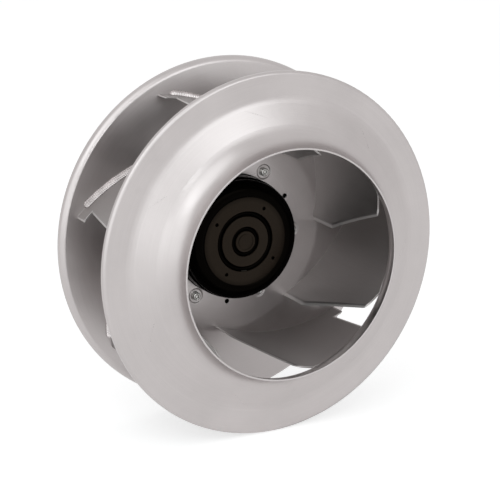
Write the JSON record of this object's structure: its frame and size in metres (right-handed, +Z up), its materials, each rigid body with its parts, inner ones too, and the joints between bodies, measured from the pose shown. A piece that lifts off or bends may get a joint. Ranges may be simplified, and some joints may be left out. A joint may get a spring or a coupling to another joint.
{
  "type": "plug fan",
  "caption": "Motorised centrifugal impeller: welded backward-curved blades between a flared inlet shroud and a dished back plate, on an external-rotor motor.",
  "frame": {"origin": "centre of the motor's rear mounting face, on the shaft's axis", "axes": "+Y along the shaft away from the inlet, out of the mounting face; -Y is the inlet side; +Z up, with the cable gland underneath"},
  "size_m": [0.452, 0.2577, 0.452],
  "materials": {
    "impeller_sheet": "satin rolled sheet",
    "blade_sheet": "satin rolled sheet",
    "weld_bead": "rippled weld metal",
    "rotor_paint": "gloss black paint on a casting",
    "housing_paint": "semi-gloss black paint on a die casting",
    "bright_steel": "zinc plated",
    "ground_steel": "ground",
    "spring_steel": "oiled",
    "lamination_steel": "stamped",
    "magnet": "matt",
    "copper": "enamelled wire",
    "insulation": "moulded",
    "board": "lacquered board",
    "capacitor_sleeve": "shrink sleeve",
    "rubber_seal": "matt",
    "gland_plastic": "moulded"
  },
  "bodies": {
    "stator": {"stator_housing": "housing_paint", "electronics_cover": "housing_paint", "cover_gasket": "rubber_seal", "cover_screws": "bright_steel", "bearing_tube": "ground_steel", "front_outer_race": "ground_steel", "rear_outer_race": "ground_steel", "front_bearing_balls": "ground_steel", "rear_bearing_balls": "ground_steel", "preload_spring": "spring_steel", "stator_core": "lamination_steel", "front_insulator": "insulation", "rear_insulator": "insulation", "windings": "copper", "control_board": "board", "board_screws": "bright_steel", "capacitors": "capacitor_sleeve", "gland_body": "gland_plastic", "gland_seal": "rubber_seal", "gland_cap": "gland_plastic"},
    "rotor": {"shroud": "impeller_sheet", "back_plate": "impeller_sheet", "plate_welds": "weld_bead", "shroud_welds": "weld_bead", "rotor_bell": "rotor_paint", "rotor_flange": "rotor_paint", "balance_clip": "spring_steel", "flux_ring": "lamination_steel", "magnets": "magnet", "shaft": "ground_steel", "retaining_ring": "spring_steel", "impeller_screws": "bright_steel", "screw_washers": "bright_steel", "front_inner_race": "ground_steel", "rear_inner_race": "ground_steel", "blade_1": "blade_sheet", "blade_2": "blade_sheet", "blade_3": "blade_sheet", "blade_4": "blade_sheet", "blade_5": "blade_sheet", "blade_6": "blade_sheet", "blade_7": "blade_sheet"}
  },
  "joints": [
    {"name": "rotor_spin", "type": "hinge", "parent": "stator", "child": "rotor", "pos_m": [0, -0.1, 0], "axis": [0, 1, 0], "continuous": true}
  ]
}
